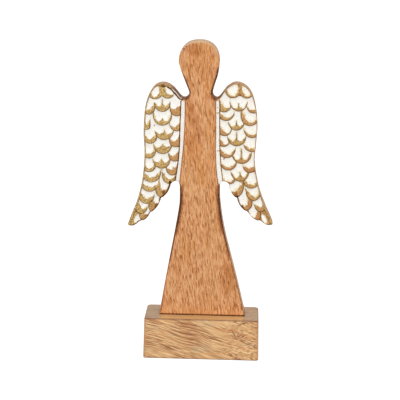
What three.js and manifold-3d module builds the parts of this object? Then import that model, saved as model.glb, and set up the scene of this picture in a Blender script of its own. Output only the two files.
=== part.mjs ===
// An angel sawn from one flat wooden board, standing on a separate wooden block.
// The fronts of its wings are gouged into overlapping rounded feathers.
// Millimetres, +Z up. The angel faces -Y. The origin is the middle of the block's underside.
import * as THREE from 'three';
import { mergeVertices } from 'three/addons/utils/BufferGeometryUtils.js';
import Module from 'manifold-3d';

const wasm = await Module();
wasm.setup();

// The block
const block = {
  width: 110,
  depth: 50,
  height: 40,
  frontCorner: 2.5,
  backCorner: 4.5,
  edge: 1,
  flare: 0.013,
};

// The board that the whole angel is cut from. It leans a little to the viewer's left.
const board = { thickness: 20, edge: 1.2, leanDegrees: 1.5 };

// Outlines are written as [across, up], with up measured from the block's top.
// The board was sawn by hand, so its left and its right side differ a little.
const head = { across: -0.3, halfWidth: 19.2, centreUp: 245.5, halfHeight: 20.1, fullness: 2.3 };

const bodySide = {
  left: {
    robe: [[-42, -2], [-34.1, 40], [-25.1, 84.8], [-20.8, 108], [-20, 118], [-19.9, 127.5]],
    armpit: { across: -24.2, up: 127.5, halfWidth: 4.3, rise: 4.6 },
    neck: [[-16.9, 236.5], [-12.6, 225], [-9.9, 216.5], [-13.2, 211.6]],
  },
  right: {
    robe: [[42, -2], [33.5, 36], [23, 80], [19.1, 104.3], [18.1, 118], [18.2, 127.2]],
    armpit: { across: 22.5, up: 127.2, halfWidth: 4.3, rise: 4.5 },
    neck: [[17.4, 234.5], [14, 224], [12, 215.5], [14.4, 211.5]],
  },
};

// Each wing's outer contour runs from the neck over the crown and down to the tip.
// Its trailing edge is a row of scallops between notches, from the armpit out to the tip.
const wingSide = {
  left: {
    contour: [
      [-18, 212.6], [-26, 221.8], [-35, 225.6], [-44.4, 221.3], [-51.2, 205.8], [-53.6, 181],
      [-53.1, 159], [-55.5, 134.5], [-61, 113.6], [-67.4, 98], [-70.4, 90.2],
    ],
    notches: [[-28.6, 129.4], [-38.2, 115.5], [-48.8, 101.4], [-59.4, 92.9], [-68, 88.2]],
    grooveBody: [[-14.2, 207.5], [-14.9, 185], [-16.6, 161], [-18.6, 142.5], [-20, 125]],
    grooveWing: [[-17.8, 207.5], [-18.8, 185], [-19.9, 161], [-22.3, 142.5], [-25.5, 125]],
  },
  right: {
    contour: [
      [18.4, 212.1], [26, 221.4], [34.6, 225.4], [44.2, 221.5], [50.8, 210.5], [54.2, 189],
      [52.8, 167], [51.5, 149.5], [55.5, 124.6], [61.8, 106.4], [65.8, 97.2], [68.6, 90.2],
    ],
    notches: [[26.9, 129.4], [34.5, 115.2], [44.8, 101.7], [58, 92.7], [66.4, 88.5]],
    grooveBody: [[15, 207.5], [15.1, 185], [14.9, 161], [15.6, 142.5], [17.6, 125]],
    grooveWing: [[18.4, 207.5], [18.2, 185], [18.3, 161], [19.6, 142.5], [22, 125]],
  },
};

const scallopBulge = 2;
const tipBulge = 0.8;
const grooveDepth = 3.2;

// The carved fronts. A plain rim is left along each wing's contour, and the feathers lie below
// the board's front. Each feather tips outwards, so that its rounded lip stands proud of the next.
const carving = { rim: 1.3, floorDepth: 4, lipDepth: 0.3, slope: 0.15, plate: 6 };
const feather = { length: 21, roundness: 1.1, sideLip: 1, rib: 1.2, scoopDepth: 2.1, scoopReach: 8.5 };
const lip = { middle: 4.6, edge: 3 };

// Below the given height the feathers turn outwards with the wing, most at its tip.
const turn = { degreesAtTip: 28, startUp: 150, tipUp: 92, ease: 1.5 };

// Feathers as [across, up, half width], where the lip's lowest point is, from the shoulder down.
// The middle row's feathers are scooped twice, which leaves a rib between the hollows.
const feathers = {
  left: {
    middle: [
      [-35.8, 198.4, 7.8], [-35, 185.5, 9.2], [-34.3, 171.7, 9.2], [-35.4, 157.9, 9.2],
      [-37.5, 144.3, 8.8],
    ],
    edges: [
      [-42.7, 210.7, 6.6], [-30.4, 211.3, 6.6], [-48.6, 195.9, 6.2], [-22.6, 193.8, 6.4],
      [-48.8, 181.3, 6.4], [-22.3, 179.6, 6.4], [-47.6, 167.8, 6.8], [-23, 164.2, 6.2],
      [-48.8, 153.6, 6.2], [-24.1, 150.6, 6], [-48.5, 140.2, 6.4], [-26.2, 137.2, 6.2],
      [-48.2, 129.2, 8.2], [-30.6, 128.5, 7.2], [-49.3, 121.4, 8.2], [-37.5, 115.2, 6.6],
      [-53.4, 109.7, 7.4], [-47, 101.3, 6], [-59.6, 101.5, 5.4], [-57.2, 93, 5.2], [-66.4, 88.6, 4.6],
    ],
  },
  right: {
    middle: [
      [35.8, 198.4, 8.6], [33.9, 179.7, 8.2], [34.8, 165, 8.9], [39.4, 147.1, 9.2],
      [38, 131.2, 8.8],
    ],
    edges: [
      [30.7, 211.4, 7], [43.9, 211, 6.7], [22.7, 197.4, 6.5], [50.9, 195.8, 6.2],
      [23.5, 188.8, 7.5], [47.6, 184, 8.3], [23, 174.6, 6.2], [48, 172, 7.7],
      [21.8, 163.3, 6.2], [48.9, 158.6, 7.7], [25.2, 153.4, 7.7], [25.7, 141.4, 7.7],
      [48.4, 137.9, 6.6], [27.5, 128.2, 6.6], [49.8, 123, 7.4], [33.6, 114.8, 6.6],
      [53.1, 110.8, 6.4], [43.6, 101.4, 6.2], [59, 101.3, 5.2], [55.6, 92.6, 5.6], [64.8, 88.8, 4.4],
    ],
  },
};

// How finely the round stretches are faceted
const steps = { span: 3, straightSpan: 2, scallop: 5, arch: 5, crown: 14, lip: 8, corner: 4 };
const scoopFacets = { around: 10, along: 6 };

const frontY = -board.thickness / 2;
const wellClear = 12;
const cornerTolerance = 1e-4;

// Solids are made from closed geometries whose shared corners are merged.
function solidFrom(geometry) {
  const bare = geometry.index ? geometry.toNonIndexed() : geometry.clone();
  bare.deleteAttribute('normal');
  bare.deleteAttribute('uv');
  const merged = mergeVertices(bare, cornerTolerance);
  return new wasm.Manifold(new wasm.Mesh({
    numProp: 3,
    vertProperties: new Float32Array(merged.attributes.position.array),
    triVerts: new Uint32Array(merged.index.array),
  }));
}

function geometryFrom(solid) {
  const mesh = solid.getMesh();
  const geometry = new THREE.BufferGeometry();
  geometry.setAttribute('position', new THREE.BufferAttribute(mesh.vertProperties, 3));
  geometry.setIndex(new THREE.BufferAttribute(mesh.triVerts, 1));
  geometry.computeVertexNormals();
  return geometry;
}

function pointsFrom(pairs) {
  return pairs.map(([across, up]) => new THREE.Vector2(across, up));
}

function smoothThrough(pairs, stepsPerSpan) {
  const curve = new THREE.SplineCurve(pointsFrom(pairs));
  return curve.getPoints(stepsPerSpan * (pairs.length - 1));
}

// A plate with the given outline. Its front lies at the given y, and it runs back into the board.
function plateFrom(outline, y, thickness) {
  const options = { depth: thickness, bevelEnabled: false };
  const geometry = new THREE.ExtrudeGeometry(new THREE.Shape(outline), options);
  return geometry.rotateX(Math.PI / 2).translate(0, y + thickness, 0);
}

// Moves each point of an open path sideways, to its left for a positive distance.
function shiftedPath(points, distance) {
  return points.map((point, i) => {
    const before = points[Math.max(i - 1, 0)];
    const after = points[Math.min(i + 1, points.length - 1)];
    const along = after.clone().sub(before).normalize();
    return new THREE.Vector2(point.x - along.y * distance, point.y + along.x * distance);
  });
}

function scallop(start, end, bulge) {
  const [from, to] = pointsFrom([start, end]);
  const along = to.clone().sub(from).normalize();
  const outwards = new THREE.Vector2(along.y, -along.x).multiplyScalar(bulge * 2);
  const control = from.clone().add(to).multiplyScalar(0.5).add(outwards);
  return new THREE.QuadraticBezierCurve(from, control, to).getPoints(steps.scallop);
}

// The trailing edge from the armpit to the tip. The bulges point down and towards the robe.
function trailingEdge(side) {
  const { notches } = wingSide[side];
  const sign = side === 'left' ? -1 : 1;
  return notches.slice(1).flatMap((notch, i) => {
    const bulge = i === notches.length - 2 ? tipBulge : scallopBulge;
    return scallop(notches[i], notch, sign * bulge).slice(i === 0 ? 0 : 1);
  });
}

// The rounded arch under each wing, from the robe over to the first scallop.
function armpitArch(side) {
  const { across, up, halfWidth, rise } = bodySide[side].armpit;
  const isLeft = side === 'left';
  const wingEnd = Math.PI / 5;
  const [start, end] = isLeft ? [0, Math.PI - wingEnd] : [Math.PI, wingEnd];
  const arc = new THREE.EllipseCurve(across, up, halfWidth, rise, start, end, !isLeft);
  return arc.getPoints(steps.arch).slice(1, -1);
}

// One side of the silhouette, from the foot up to where the head is widest.
function sideOutline(side) {
  const { robe, neck } = bodySide[side];
  const { contour } = wingSide[side];
  const temple = head.across + (side === 'left' ? -head.halfWidth : head.halfWidth);
  const neckToHead = [[temple, head.centreUp], ...neck, ...contour];
  return [
    ...smoothThrough(robe, steps.straightSpan),
    ...armpitArch(side),
    ...trailingEdge(side),
    ...smoothThrough(neckToHead, steps.span).reverse(),
  ];
}

// The crown of the head, a little fuller than an ellipse, from the left temple to the right.
function headTop() {
  const { across, halfWidth, centreUp, halfHeight, fullness } = head;
  const halfCircle = new THREE.EllipseCurve(0, 0, 1, 1, Math.PI, 0, true);
  const points = halfCircle.getPoints(steps.crown).slice(1, -1);
  return points.map(({ x, y }) => new THREE.Vector2(
    across + halfWidth * Math.sign(x) * Math.abs(x) ** (2 / fullness),
    centreUp + halfHeight * y ** (2 / fullness),
  ));
}

function boardSolid() {
  const outline = [...sideOutline('left'), ...headTop(), ...sideOutline('right').reverse()];
  const geometry = new THREE.ExtrudeGeometry(new THREE.Shape(outline), {
    depth: board.thickness - 2 * board.edge,
    bevelThickness: board.edge,
    bevelSize: board.edge,
    bevelOffset: -board.edge,
    bevelSegments: 1,
  });
  geometry.rotateX(Math.PI / 2).translate(0, board.thickness / 2 - board.edge, 0);
  return solidFrom(geometry);
}

// The area of a wing's front that is carved, from the groove out to the rim and the scallops.
function carvedField(side) {
  const inwards = side === 'left' ? 1 : -1;
  const { contour, grooveBody, grooveWing } = wingSide[side];
  const rim = shiftedPath(smoothThrough(contour, steps.span), inwards * carving.rim);
  const pastScallops = shiftedPath(trailingEdge(side), inwards);
  const middleOfGroove = grooveBody.map(([across, up], i) => [(across + grooveWing[i][0]) / 2, up]);
  const outline = [...rim, ...pastScallops.reverse(), ...smoothThrough(middleOfGroove, 1).reverse()];
  return solidFrom(plateFrom(outline, frontY - wellClear, wellClear + carving.floorDepth));
}

function featherOutline(halfWidth) {
  const bottom = halfWidth * feather.roundness;
  const curve = new THREE.EllipseCurve(0, bottom, halfWidth, bottom, Math.PI, 2 * Math.PI);
  const top = [[halfWidth, feather.length], [-halfWidth, feather.length]];
  return [...curve.getPoints(steps.lip), ...pointsFrom(top)];
}

function turnAt(side, up) {
  const share = THREE.MathUtils.clamp((turn.startUp - up) / (turn.startUp - turn.tipUp), 0, 1);
  const angle = THREE.MathUtils.degToRad(turn.degreesAtTip) * share ** turn.ease;
  return side === 'left' ? angle : -angle;
}

function placedFeather(geometry, side, [across, up]) {
  geometry.applyMatrix4(new THREE.Matrix4().makeShear(0, 0, 0, 0, 0, carving.slope));
  geometry.rotateY(turnAt(side, up));
  geometry.translate(across, frontY + carving.lipDepth, up);
  return solidFrom(geometry);
}

// One gouged hollow. Its lower end is the given distance above the feather's lowest point.
function scoopGeometry(across, halfWidth, above) {
  const geometry = new THREE.SphereGeometry(1, scoopFacets.around, scoopFacets.along);
  geometry.scale(halfWidth, feather.scoopDepth, feather.scoopReach);
  return geometry.translate(across, 0, above + feather.scoopReach);
}

function scoopsOf(halfWidth, doubled) {
  const room = halfWidth - feather.sideLip;
  if (!doubled) {
    return [scoopGeometry(0, room, lip.edge)];
  }
  const narrow = (room - feather.rib / 2) / 2;
  const offset = feather.rib / 2 + narrow;
  return [-offset, offset].map((across) => scoopGeometry(across, narrow, lip.middle));
}

// Lays the feathers from the tip up to the shoulder, so that each one covers those below it.
function featherRelief(side) {
  const { middle, edges } = feathers[side];
  const rows = [
    ...middle.map((place) => ({ place, doubled: true })),
    ...edges.map((place) => ({ place, doubled: false })),
  ];
  rows.sort((a, b) => a.place[1] - b.place[1]);
  const outlineOf = (place) => plateFrom(featherOutline(place[2]), 0, carving.plate);
  let relief = placedFeather(outlineOf(rows[0].place), side, rows[0].place);
  for (const { place, doubled } of rows) {
    relief = relief.add(placedFeather(outlineOf(place), side, place));
    for (const scoop of scoopsOf(place[2], doubled)) {
      relief = relief.subtract(placedFeather(scoop, side, place));
    }
  }
  return relief;
}

function grooveSolid(side) {
  const { grooveBody, grooveWing } = wingSide[side];
  const [inner, outer] = [grooveBody, grooveWing].map((edge) => smoothThrough(edge, steps.straightSpan));
  return solidFrom(plateFrom([...inner, ...outer.reverse()], frontY - wellClear, wellClear + grooveDepth));
}

function angelSolid() {
  let angel = boardSolid();
  for (const side of ['left', 'right']) {
    const air = carvedField(side).subtract(featherRelief(side));
    angel = angel.subtract(air).subtract(grooveSolid(side));
  }
  return angel;
}

// Leans the angel and trims its foot level with the block's top.
function standingAngel() {
  const lean = THREE.MathUtils.degToRad(-board.leanDegrees);
  const leaning = geometryFrom(angelSolid()).rotateY(lean).translate(0, 0, block.height);
  const below = new THREE.BoxGeometry(2 * block.width, 2 * block.depth, block.height);
  below.translate(0, 0, block.height / 2);
  return geometryFrom(solidFrom(leaning).subtract(solidFrom(below)));
}

// The block was sanded by hand, and is a little wider at its foot than at its top.
function widenedBelow(geometry, height, flare) {
  const corners = geometry.attributes.position;
  for (let i = 0; i < corners.count; i += 1) {
    corners.setX(i, corners.getX(i) * (1 + flare * (1 - corners.getZ(i) / height)));
  }
  return geometry;
}

function blockGeometry() {
  const { width, depth, height, frontCorner, backCorner, edge, flare } = block;
  const [x, y] = [width / 2, depth / 2];
  const outline = new THREE.Shape();
  outline.absarc(-x + frontCorner, -y + frontCorner, frontCorner, Math.PI, 1.5 * Math.PI);
  outline.absarc(x - frontCorner, -y + frontCorner, frontCorner, 1.5 * Math.PI, 2 * Math.PI);
  outline.absarc(x - backCorner, y - backCorner, backCorner, 0, 0.5 * Math.PI);
  outline.absarc(-x + backCorner, y - backCorner, backCorner, 0.5 * Math.PI, Math.PI);
  const geometry = new THREE.ExtrudeGeometry(outline, {
    depth: height - 2 * edge,
    bevelThickness: edge,
    bevelSize: edge,
    bevelOffset: -edge,
    bevelSegments: 1,
    curveSegments: steps.corner,
  });
  geometry.translate(0, 0, edge);
  return widenedBelow(geometry, height, flare);
}

function namedMesh(name, geometry, material) {
  const mesh = new THREE.Mesh(geometry, new THREE.MeshStandardMaterial(material));
  mesh.name = name;
  return mesh;
}

const statue = new THREE.Group();
statue.add(
  namedMesh('angel_figure', standingAngel(), { color: 0xc07a48, roughness: 0.5, metalness: 0 }),
  namedMesh('plinth_block', blockGeometry(), { color: 0xc9a06a, roughness: 0.45, metalness: 0 }),
);

export default statue;
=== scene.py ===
import math

import bmesh
import bpy
import numpy as np
from mathutils import Matrix, Vector
from mathutils.geometry import interpolate_bezier


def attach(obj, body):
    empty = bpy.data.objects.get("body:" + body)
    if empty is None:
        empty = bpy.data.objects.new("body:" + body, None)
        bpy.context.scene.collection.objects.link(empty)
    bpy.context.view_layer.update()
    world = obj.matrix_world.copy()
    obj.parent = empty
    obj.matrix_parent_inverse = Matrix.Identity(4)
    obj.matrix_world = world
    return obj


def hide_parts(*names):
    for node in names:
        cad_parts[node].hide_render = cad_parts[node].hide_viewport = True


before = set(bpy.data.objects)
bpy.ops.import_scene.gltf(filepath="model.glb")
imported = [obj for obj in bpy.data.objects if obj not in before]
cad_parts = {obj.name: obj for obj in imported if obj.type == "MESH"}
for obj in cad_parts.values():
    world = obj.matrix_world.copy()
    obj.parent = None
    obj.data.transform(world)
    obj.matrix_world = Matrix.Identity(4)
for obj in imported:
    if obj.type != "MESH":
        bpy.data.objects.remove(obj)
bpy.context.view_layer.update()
print("frame loaded")


# sizes are in millimetres until a piece is done
perMetre = 1000
sharpDegrees = 50
outward = {"left": -1, "right": 1}


# Node helpers. Each adds its node to the tree of the socket that it is given.

def newMaterial(name):
    material = bpy.data.materials.new(name)
    material.use_nodes = True
    tree = material.node_tree
    return material, tree, tree.nodes["Principled BSDF"]


def feed(node, name, value):
    # links a socket to a node's input, or gives the input a constant
    if isinstance(value, bpy.types.NodeSocket):
        node.id_data.links.new(value, node.inputs[name])
    else:
        node.inputs[name].default_value = value


def addNode(tree, kind, settings=None, inputs=None):
    node = tree.nodes.new(kind)
    for name, value in (settings or {}).items():
        setattr(node, name, value)
    for name, value in (inputs or {}).items():
        feed(node, name, value)
    return node


def millimetres(tree, stretch=(1, 1, 1), turn=(0, 0, 0), shift=(0, 0, 0)):
    # object coordinates in millimetres, turned and then squeezed along the grain
    turned = addNode(tree, "ShaderNodeMapping", inputs={
        "Vector": addNode(tree, "ShaderNodeTexCoord").outputs["Object"],
        "Location": shift,
        "Rotation": [math.radians(a) for a in turn],
        "Scale": (perMetre,) * 3,
    })
    return squeeze(turned.outputs["Vector"], stretch)


def squeeze(vector, stretch):
    inputs = {"Vector": vector, "Scale": stretch}
    return addNode(vector.id_data, "ShaderNodeMapping", inputs=inputs).outputs["Vector"]


def noise(vector, scale, detail=2.0, rough=0.5, distortion=0.0):
    return addNode(vector.id_data, "ShaderNodeTexNoise", inputs={
        "Vector": vector,
        "Scale": scale,
        "Detail": detail,
        "Roughness": rough,
        "Distortion": distortion,
    }).outputs["Fac"]


def band(value, low, high, out=(0.0, 1.0)):
    # smooth step from low to high
    return addNode(value.id_data, "ShaderNodeMapRange", {"interpolation_type": "SMOOTHSTEP"}, {
        "Value": value,
        "From Min": low,
        "From Max": high,
        "To Min": out[0],
        "To Max": out[1],
    }).outputs["Result"]


def maths(operation, first, second=0.0):
    inputs = {0: first, 1: second}
    return addNode(first.id_data, "ShaderNodeMath", {"operation": operation}, inputs).outputs[0]


def times(first, second):
    return maths("MULTIPLY", first, second)


def swinging(value, reach):
    # a noise made to swing both ways from nothing
    return times(maths("SUBTRACT", value, 0.5), reach)


def mixColour(factor, first, second, blend="MIX"):
    settings = {"data_type": "RGBA", "blend_type": blend}
    inputs = {0: factor, 6: first, 7: second}
    return addNode(factor.id_data, "ShaderNodeMix", settings, inputs).outputs[2]


def mixValue(factor, first, second):
    inputs = {0: factor, 2: first, 3: second}
    return addNode(factor.id_data, "ShaderNodeMix", {"data_type": "FLOAT"}, inputs).outputs[0]


def waved(vector, scale, reach):
    # moves a pattern up and down by a slow wave, in millimetres
    tree = vector.id_data
    lift = swinging(noise(vector, scale, 1), reach)
    offset = addNode(tree, "ShaderNodeCombineXYZ", inputs={"Z": lift}).outputs[0]
    inputs = {0: vector, 1: offset}
    return addNode(tree, "ShaderNodeVectorMath", {"operation": "ADD"}, inputs).outputs[0]


def apart(vector):
    # a vector's X, Y and Z
    return addNode(vector.id_data, "ShaderNodeSeparateXYZ", inputs={0: vector}).outputs


def attribute(tree, name):
    return addNode(tree, "ShaderNodeAttribute", {"attribute_name": name}).outputs["Fac"]


def bump(height, strength, distance):
    return addNode(height.id_data, "ShaderNodeBump", inputs={
        "Height": height,
        "Strength": strength,
        "Distance": distance,
    }).outputs["Normal"]


def rgb(red, green, blue):
    # a colour as it is seen on screen, made linear
    def linear(c):
        c = c / 255
        return c / 12.92 if c <= 0.04045 else ((c + 0.055) / 1.055) ** 2.4
    return (linear(red), linear(green), linear(blue), 1)


def linearColours(seen):
    return {name: rgb(*colour) for name, colour in seen.items()}


def layered(wood, layers, colours):
    # lays each named colour over the wood, where its pattern goes from low to high
    for name, pattern, low, high, strength in layers:
        wood = mixColour(band(pattern, low, high, (0, strength)), wood, colours[name])
    return wood


# Geometry helpers

def objectFrom(bm, name, material):
    mesh = bpy.data.meshes.new(name)
    bm.to_mesh(mesh)
    bm.free()
    piece = bpy.data.objects.new(name, mesh)
    bpy.context.scene.collection.objects.link(piece)
    mesh.materials.append(material)
    return piece


def smoothPath(knots, steps):
    # a smooth open path through the knots, as points on the board's front
    points = [Vector((across, 0, up)) for across, up in knots]
    last = len(points) - 1
    path = points[:1]
    for i in range(last):
        before, start, end, after = (points[min(max(i + k, 0), last)] for k in (-1, 0, 1, 2))
        handleOut = start + (end - before) / 6
        handleIn = end - (after - start) / 6
        path += interpolate_bezier(start, handleOut, handleIn, end, steps + 1)[1:]
    return path


def outlinePath(knots, name):
    return smoothPath(knots, board["steps"][name])


def smoothStep(values, low, high):
    share = np.clip((values - low) / (high - low), 0, 1)
    return share * share * (3 - 2 * share)


def ease(bm, edges, offset, segments, clamp=True):
    # rounds the edges over
    return bmesh.ops.bevel(
        bm, geom=edges, offset=offset, offset_type="OFFSET", segments=segments, profile=0.5,
        affect="EDGES", material=-1, clamp_overlap=clamp, miter_outer="SHARP",
    )


def softEdges(piece):
    piece.data.shade_smooth()
    piece.data.set_sharp_from_angle(angle=math.radians(sharpDegrees))
    modifier = piece.modifiers.new("weightedNormals", "WEIGHTED_NORMAL")
    modifier.keep_sharp = True


# The angel, sawn from one board. Sizes in millimetres; heights are from the block's top.
board = {
    "thickness": 20,
    "edge": 1.2,
    "edgeSegments": 3,
    "leanDegrees": 1.5,
    "standsAt": 40,
    "footEdge": 0.7,
    "footSegments": 2,
    "splitInset": 1,
    "bodyGrid": 1,
    "wingGrid": 0.42,
    "backGrid": 1.5,
    "head": {
        "across": -0.3, "halfWidth": 19.2, "centreUp": 245.5, "halfHeight": 20.1, "fullness": 2.3,
    },
    "steps": {
        "robe": 6, "arch": 10, "scallop": 8, "contour": 7, "crown": 44, "neck": 8, "groove": 4,
        "split": 3,
    },
}

# Where the front is a wing's: between two heights, and further out below the armpit than above it
wingArea = {"lowest": 80, "highest": 228, "armpit": 133, "inner": 17, "innerBelow": 24.5}
carvedArea = {"lowest": 86, "highest": 228, "armpit": 127, "innerBelow": 25}

bodySide = {
    "left": {
        "robe": [(-42, -2), (-34.1, 40), (-25.1, 84.8), (-20.8, 108), (-20, 118), (-19.9, 127.5)],
        "armpit": {"across": -24.2, "up": 127.5, "halfWidth": 4.3, "rise": 4.6},
        "neck": [(-16.9, 236.5), (-12.6, 225), (-9.9, 216.5), (-13.2, 211.6)],
    },
    "right": {
        "robe": [(42, -2), (33.5, 36), (23, 80), (19.1, 104.3), (18.1, 118), (18.2, 127.2)],
        "armpit": {"across": 22.5, "up": 127.2, "halfWidth": 4.3, "rise": 4.5},
        "neck": [(17.4, 234.5), (14, 224), (12, 215.5), (14.4, 211.5)],
    },
}

wingSide = {
    "left": {
        "contour": [
            (-18, 212.6), (-26, 221.8), (-35, 225.6), (-44.4, 221.3), (-51.2, 205.8), (-53.6, 181),
            (-53.1, 159), (-55.5, 134.5), (-61, 113.6), (-67.4, 98), (-70.4, 90.2),
        ],
        "notches": [(-28.6, 129.4), (-38.2, 115.5), (-48.8, 101.4), (-59.4, 92.9), (-68, 88.2)],
        "grooveBody": [(-14.1, 209.5), (-14.9, 185), (-16.8, 161), (-19.1, 142.5), (-20.8, 125)],
        "grooveWing": [(-17.5, 209.5), (-18.8, 185), (-19.9, 161), (-22.3, 142.5), (-25.5, 125)],
    },
    "right": {
        "contour": [
            (18.4, 212.1), (26, 221.4), (34.6, 225.4), (44.2, 221.5), (50.8, 210.5), (54.2, 189),
            (52.8, 167), (51.5, 149.5), (55.5, 124.6), (61.8, 106.4), (65.8, 97.2), (68.6, 90.2),
        ],
        "notches": [(26.9, 129.4), (34.5, 115.2), (44.8, 101.7), (58, 92.7), (66.4, 88.5)],
        "grooveBody": [(15, 209.5), (15.1, 185), (14.6, 161), (15.3, 142.5), (17.4, 125)],
        "grooveWing": [(18.4, 209.5), (18.2, 185), (18.3, 161), (19.6, 142.5), (22, 125)],
    },
}

scallops = {"bulge": 2, "tipBulge": 0.8}

# What a feather has unless it says otherwise. Its lip is lowest at (across, up). A rib of the given
# height parts the hollow in two, a shift moves it towards the wing's outer edge, and a turn leans
# the feather outwards. The walls beside the hollow end at the horn's height. An oval is a closed
# hollow of its own: its centre, half width, half height and tilt.
plainFeather = {"rib": 0, "shift": 0, "turn": 0, "wear": 0, "wall": 1.8, "horn": 12, "oval": None}


def feather(across, up, halfWidth, lip, **more):
    return {**plainFeather, "across": across, "up": up, "halfWidth": halfWidth, "lip": lip, **more}


# from the crown down: the middle row, then the outer and the inner edge's, down to the wing's tip
feathers = {
    "left": [
        feather(-42.2, 210.9, 8.6, 3.6, horn=4, oval=(-41.7, 218, 3.8, 5.2, 25)),
        feather(-30.4, 211.4, 7.4, 3.6, horn=4, oval=(-28.5, 218.9, 3.3, 4.7, -35)),
        feather(-35.6, 198.8, 7.8, 5.6, rib=6.8),
        feather(-35.5, 185.7, 9.2, 4.2, rib=3.4, wall=2.4, horn=16),
        feather(-34.1, 171.8, 9.2, 6, rib=6.1, horn=11),
        feather(-35.7, 158.5, 9.2, 6.6, rib=4.5, horn=11),
        feather(-37.1, 144.5, 8.8, 6, rib=4.7),
        feather(-48.6, 196.3, 6.2, 4.4, wear=0.1),
        feather(-50.4, 181.8, 3.4, 5.2),
        feather(-47.6, 168.3, 6.8, 4.6),
        feather(-48.8, 154.1, 6.4, 4.2),
        feather(-49, 141, 6.4, 3.4),
        feather(-48.4, 131.2, 9.4, 4.8, turn=3, wall=2.6, horn=17),
        feather(-50.2, 122, 8.2, 4.6, horn=8),
        feather(-53.9, 110.4, 7.4, 5.4),
        feather(-59.2, 100.9, 5.6, 5.6, shift=-1),
        feather(-22, 194.6, 6.6, 6.6, shift=2.2, wear=0.7),
        feather(-22.6, 180.2, 6.6, 4, shift=1.8, wear=0.5),
        feather(-23.5, 164.9, 6.2, 6, shift=2, wear=0.8),
        feather(-24.6, 151.2, 6, 5.2, shift=2, wear=0.6),
        feather(-27, 137.8, 6.4, 5, shift=1.8, wear=0.7),
        feather(-30.2, 129.5, 7.6, 4.4, wall=2.2, horn=15),
        feather(-38.3, 116.5, 6.2, 7.2, shift=-1.1, wall=2, horn=22, wear=0.3),
        feather(-46.7, 102, 5.8, 9.6, wear=0.5),
        feather(-56.2, 93.9, 5.4, 6.8, wear=0.4),
        feather(-66.4, 88.6, 4.8, 5.6, oval=(-61, 95.8, 3, 4.6, 28)),
    ],
    "right": [
        feather(31.2, 211.4, 8, 3, horn=5, wear=0.2, oval=(31, 219.6, 5.3, 6, 0)),
        feather(44.2, 211.2, 8, 3, horn=5, wear=0.2, oval=(43.4, 219, 3.5, 6.2, -25)),
        feather(36.5, 198.9, 8.6, 2.8, rib=6, horn=11),
        feather(34.2, 180.8, 8, 3.8, rib=6, horn=9),
        feather(34.5, 165.7, 9.2, 4.8, rib=10, wall=2.4),
        feather(39.2, 148.7, 9.6, 3.8, rib=12, shift=-0.6, wall=2.8, horn=13, wear=0.4),
        feather(38.2, 131.8, 8.8, 3.8, rib=6.5, wall=2.3, wear=0.3),
        feather(50.4, 196.8, 6.6, 2.6, horn=5, wear=0.5),
        feather(47.1, 184.9, 8.8, 3.4, wall=2.6, shift=1.2, horn=17, wear=0.5),
        feather(49.2, 173.4, 8.4, 3, horn=9, wear=0.4),
        feather(48.7, 160.1, 8, 3, horn=8, wear=0.3),
        feather(47, 140, 6.8, 4, horn=7, wear=0.9),
        feather(49.3, 124.8, 7.8, 3.4, shift=0.8, horn=14, wear=0.3),
        feather(52, 113, 6.8, 3.2, shift=1.1, wall=2.2, horn=15, wear=0.3),
        feather(58.8, 102.4, 5.4, 4.2, wear=0.4),
        feather(22.9, 198.1, 6.8, 3.8, shift=3),
        feather(24.7, 189.8, 8, 2.6, shift=1.2, horn=10, wear=0.3),
        feather(23.1, 175.5, 7, 2.6, shift=2.4, wear=0.6),
        feather(22.3, 165.1, 6.4, 2.3, shift=2, horn=9, wear=0.8),
        feather(25, 154.3, 8.6, 3, shift=1, wall=2.4, wear=0.6),
        feather(26.7, 142.3, 8.4, 2.9, horn=9, wear=0.8),
        feather(28, 129.1, 6.8, 2.3, horn=5, wear=0.4),
        feather(31.8, 115.9, 9.4, 5.6, turn=-12, shift=-2.4, wall=2.2, horn=16, wear=0.3),
        feather(43, 103.1, 7, 4.2, turn=-15, shift=-2, wall=1.6, horn=30, wear=0.8),
        feather(53.1, 92.7, 6.4, 4.2, turn=-12, shift=-1.2, horn=14, wear=0.9),
        feather(64.8, 88.8, 4.8, 5.6, wear=0.5, oval=(60.2, 95.6, 2.1, 5, -26)),
    ],
}

# The feathers' relief. A feather lies lipDepth below the front at its lip and slopes back from
# there; its hollow is scooped deeper and fades out towards the feather's upper end.
carving = {
    "lipDepth": 0.3,
    "lipRound": 0.9,
    "lipRoundDepth": 0.5,
    "slope": 0.11,
    "scoop": 1.5,
    "scoopPower": 0.7,
    "scoopEnds": (8, 26),
    "reach": 6,
    "roundness": 1.1,
    "overWall": 0.5,
    "rib": 1.1,
    "ribReach": 4.2,
    "ribEnds": (-1, 4),
    "hollowSize": 4.8,
    "hollowPower": 1.65,
    "softness": 0.3,
    "grooveDepth": 2.6,
    "floor": 3.2,
}

# How each wing is painted: the yellow sheen round the gold, the dark line round each lip and on
# each rib, the rim left along the wing's outer edge with its share of gold, the groove's dark
# line, and the wear that all its feathers share.
paint = {
    "left": {
        "sheen": 1.1, "sheenShare": 0.6, "line": 1.2, "ribLine": 0.3,
        "rim": 1.2, "rimGold": 0.9, "grooveLine": 0.9, "wear": 0,
    },
    "right": {
        "sheen": 2.4, "sheenShare": 0.85, "line": 1.6, "ribLine": 0.75,
        "rim": 0.8, "rimGold": 0.6, "grooveLine": 0.7, "wear": 0.2,
    },
}

# Lines are given the half widths between which they fade. The gold's ragged edge may wander up to
# edgeReach, and the rim is wider by tipRim between two heights near the wing's tip.
strokes = {
    "edgeReach": 2,
    "lipLineStart": 0.15,
    "ribLine": (0.2, 0.9),
    "tipRim": 1,
    "tipRimUps": (94, 126),
    "rimSoftness": 0.4,
    "wingLineGap": 0.35,
    "wingLine": (0.2, 0.75),
    "bodyLineGap": -0.4,
    "bodyLine": (0.2, 0.9),
    "bodyLineStrength": 0.4,
    "markFades": (0.5, 1.1),
    "toneFades": (0.1, 1),
    "sideFrom": 0.99,
}

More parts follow.
